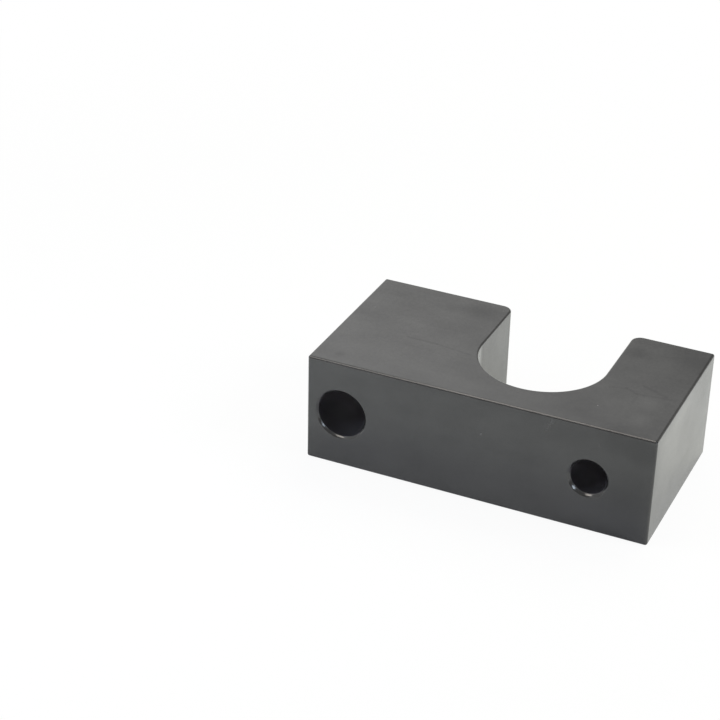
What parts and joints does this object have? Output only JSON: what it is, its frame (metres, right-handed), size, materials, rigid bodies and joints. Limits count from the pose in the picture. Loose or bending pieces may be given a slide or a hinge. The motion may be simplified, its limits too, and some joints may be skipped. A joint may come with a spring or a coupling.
{
  "type": "sway bar relocation bracket",
  "caption": "Thick black anodised aluminium block with an arched slot between a wide and a narrow leg, and a bolt bore along each leg.",
  "frame": {"origin": "middle of the footprint, on the surface that the block lies on with its profile face down", "axes": "+X along the length from the wide leg to the narrow leg, +Y from the bolt face to the feet, +Z through the thickness"},
  "size_m": [0.1178, 0.0616, 0.0381],
  "materials": {
    "black_anodised": "satin black anodised over fine milling marks"
  },
  "bodies": {
    "root": {"bracket": "black_anodised"}
  },
  "joints": []
}
